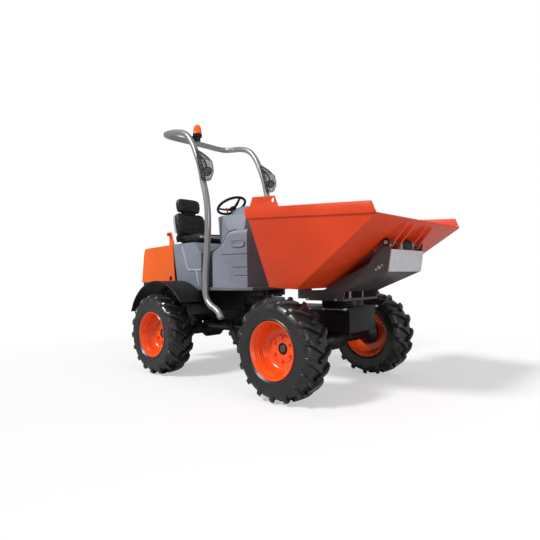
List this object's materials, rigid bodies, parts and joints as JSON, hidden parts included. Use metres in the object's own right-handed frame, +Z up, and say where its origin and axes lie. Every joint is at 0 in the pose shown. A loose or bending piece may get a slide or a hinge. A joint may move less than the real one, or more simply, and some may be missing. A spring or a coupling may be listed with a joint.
{
  "type": "site dumper",
  "caption": "Small articulated site dumper with a swivelling front-tipping skip, roll-over frame, open driver's seat and engine bonnet.",
  "frame": {"origin": "on the ground, at the middle of the machine's length and width", "axes": "+X forward, towards the skip's lip; +Y to the driver's left; +Z up"},
  "size_m": [3.096, 1.511, 2.4337],
  "materials": {
    "tyre_rubber": "matt black rubber",
    "orange_paint": "bright orange-red gloss",
    "bonnet_paint": "orange gloss",
    "black_paint": "satin black",
    "dark_grey_paint": "satin dark grey",
    "grey_paint": "satin mid grey",
    "pale_grey_paint": "satin pale grey",
    "rod_steel": "bright rod",
    "black_plastic": "moulded black",
    "seat_vinyl": "black vinyl",
    "amber_lens": "clear amber"
  },
  "bodies": {
    "rear_half": {"rear_chassis": "black_paint", "engine_deck": "black_paint", "counterweight": "grey_paint", "rear_axle": "black_paint", "engine_block": "black_paint", "seat_plinth": "grey_paint", "operator_platform": "pale_grey_paint", "console": "grey_paint", "steering_column": "grey_paint", "seat_base": "black_plastic", "seat_cushion": "seat_vinyl", "seat_back": "seat_vinyl", "headrest": "seat_vinyl", "rops_frame": "grey_paint", "beacon_base": "black_plastic", "beacon_dome": "amber_lens", "work_light_left": "black_plastic", "work_light_right": "black_plastic", "rear_fender_left": "black_paint", "rear_fender_right": "black_paint", "tip_lever": "black_plastic", "gear_lever": "black_plastic", "brake_lever": "black_plastic"},
    "front_half": {"front_chassis": "black_paint", "front_axle": "black_paint", "slew_ring": "black_paint"},
    "swivel_frame": {"tipping_frame": "dark_grey_paint"},
    "skip_body": {"skip": "orange_paint"},
    "tip_barrel": {"tip_cylinder_barrel": "black_paint"},
    "tip_rod": {"tip_cylinder_rod": "rod_steel"},
    "steer_barrel": {"steering_cylinder_barrel": "black_paint"},
    "steer_rod": {"steering_cylinder_rod": "rod_steel"},
    "bonnet_lid": {"bonnet": "bonnet_paint", "knob_bracket": "bonnet_paint"},
    "hand_wheel": {"steering_wheel": "black_plastic"},
    "wheel_front_left": {"tyre_front_left": "tyre_rubber", "wheel_rim_front_left": "orange_paint"},
    "wheel_front_right": {"tyre_front_right": "tyre_rubber", "wheel_rim_front_right": "orange_paint"},
    "wheel_rear_left": {"tyre_rear_left": "tyre_rubber", "wheel_rim_rear_left": "orange_paint"},
    "wheel_rear_right": {"tyre_rear_right": "tyre_rubber", "wheel_rim_rear_right": "orange_paint"}
  },
  "joints": [
    {"name": "articulation", "type": "hinge", "parent": "rear_half", "child": "front_half", "pos_m": [-0.041, 0, 0.52], "axis": [0, 0, 1], "range_deg": [-30, 30]},
    {"name": "skip_swivel", "type": "hinge", "parent": "front_half", "child": "swivel_frame", "pos_m": [0.894, 0, 0.7147], "axis": [0, 0, 1], "range_deg": [-90, 90]},
    {"name": "skip_tip", "type": "hinge", "parent": "swivel_frame", "child": "skip_body", "pos_m": [1.389, 0, 1.132], "axis": [0, 1, 0], "range_deg": [0, 75]},
    {"name": "tip_cylinder_pivot", "type": "hinge", "parent": "swivel_frame", "child": "tip_barrel", "pos_m": [1.349, 0, 1.03], "axis": [0, 1, 0], "range_deg": [-1, 78.7]},
    {"name": "tip_cylinder_slide", "type": "slide", "parent": "tip_barrel", "child": "tip_rod", "axis": [-0.8868, 0, -0.4622], "range_m": [-0.002, 0.1353]},
    {"name": "steering_cylinder_pivot", "type": "hinge", "parent": "rear_half", "child": "steer_barrel", "pos_m": [-0.616, -0.232, 0.455], "axis": [0, 0, 1], "range_deg": [-5, 5]},
    {"name": "steering_cylinder_slide", "type": "slide", "parent": "steer_barrel", "child": "steer_rod", "axis": [0.9996, 0.0283, 0], "range_m": [-0.12, 0.12]},
    {"name": "bonnet_hinge", "type": "hinge", "parent": "rear_half", "child": "bonnet_lid", "pos_m": [-1.528, 0, 0.868], "axis": [0, -1, 0], "range_deg": [0, 60]},
    {"name": "steering_wheel_turn", "type": "hinge", "parent": "rear_half", "child": "hand_wheel", "pos_m": [-0.483, 0, 1.639], "axis": [-0.4633, 0, 0.8862], "continuous": true},
    {"name": "wheel_front_left_spin", "type": "hinge", "parent": "front_half", "child": "wheel_front_left", "pos_m": [0.734, 0.6275, 0.38], "axis": [0, 1, 0], "continuous": true},
    {"name": "wheel_front_right_spin", "type": "hinge", "parent": "front_half", "child": "wheel_front_right", "pos_m": [0.734, -0.6275, 0.38], "axis": [0, 1, 0], "continuous": true},
    {"name": "wheel_rear_left_spin", "type": "hinge", "parent": "rear_half", "child": "wheel_rear_left", "pos_m": [-0.816, 0.6275, 0.38], "axis": [0, 1, 0], "continuous": true},
    {"name": "wheel_rear_right_spin", "type": "hinge", "parent": "rear_half", "child": "wheel_rear_right", "pos_m": [-0.816, -0.6275, 0.38], "axis": [0, 1, 0], "continuous": true}
  ],
  "couplings": [
    {"joint": "tip_cylinder_pivot", "follows": "skip_tip", "ratio": 1.0293},
    {"joint": "tip_cylinder_slide", "follows": "skip_tip", "m_per_rad": 0.10027},
    {"joint": "steering_cylinder_pivot", "follows": "articulation", "ratio": 0.06879},
    {"joint": "steering_cylinder_slide", "follows": "articulation", "m_per_rad": 0.20791}
  ]
}
